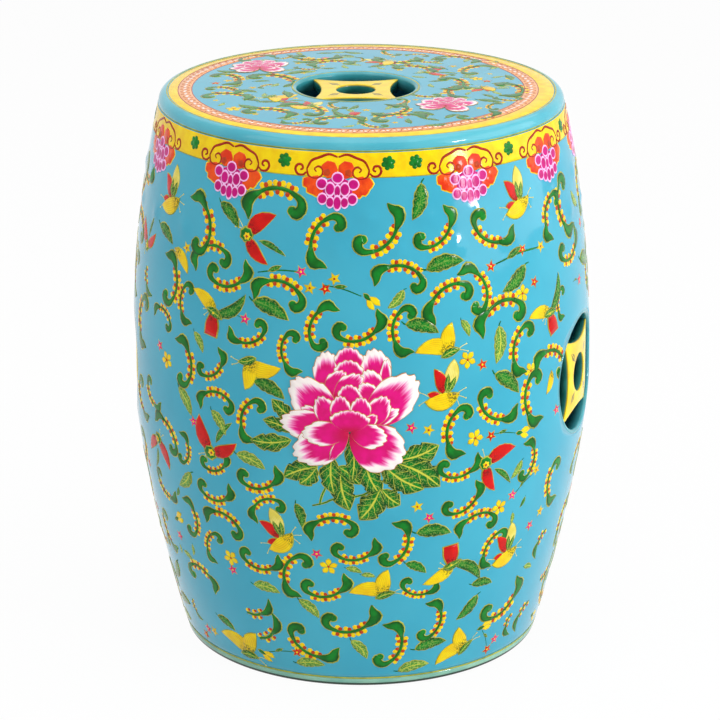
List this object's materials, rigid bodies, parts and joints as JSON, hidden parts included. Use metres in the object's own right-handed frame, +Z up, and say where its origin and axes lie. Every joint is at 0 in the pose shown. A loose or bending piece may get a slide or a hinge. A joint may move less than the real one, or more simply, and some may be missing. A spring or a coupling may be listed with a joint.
{
  "type": "ceramic garden stool",
  "caption": "Barrel-shaped glazed ceramic garden stool with a flat round seat, a beaded rim and round openwork windows with coin-shaped frets in the seat and the sides.",
  "frame": {"origin": "middle of the foot ring's underside, on the floor", "axes": "+Z up through the seat, -Y towards the front with the painted flower, +X to the viewer's right"},
  "size_m": [0.376, 0.3778, 0.46],
  "materials": {
    "blue_glaze": "gloss",
    "turquoise_glaze": "gloss",
    "yellow_enamel": "gloss",
    "pink_enamel": "gloss",
    "red_enamel": "gloss",
    "green_enamel": "gloss",
    "white_enamel": "gloss",
    "foot_glaze": "gloss",
    "bare_clay": "matt"
  },
  "bodies": {
    "root": {"lower_wall": "blue_glaze", "front_window_wall": "blue_glaze", "back_window_wall": "blue_glaze", "upper_wall": "blue_glaze", "seat_plate": "blue_glaze", "rim_bead": "turquoise_glaze", "seat_fret": "yellow_enamel", "right_fret": "yellow_enamel", "left_fret": "yellow_enamel", "foot_ring": "foot_glaze", "seat_luting_coil": "bare_clay", "foot_luting_coil": "bare_clay"}
  },
  "joints": []
}
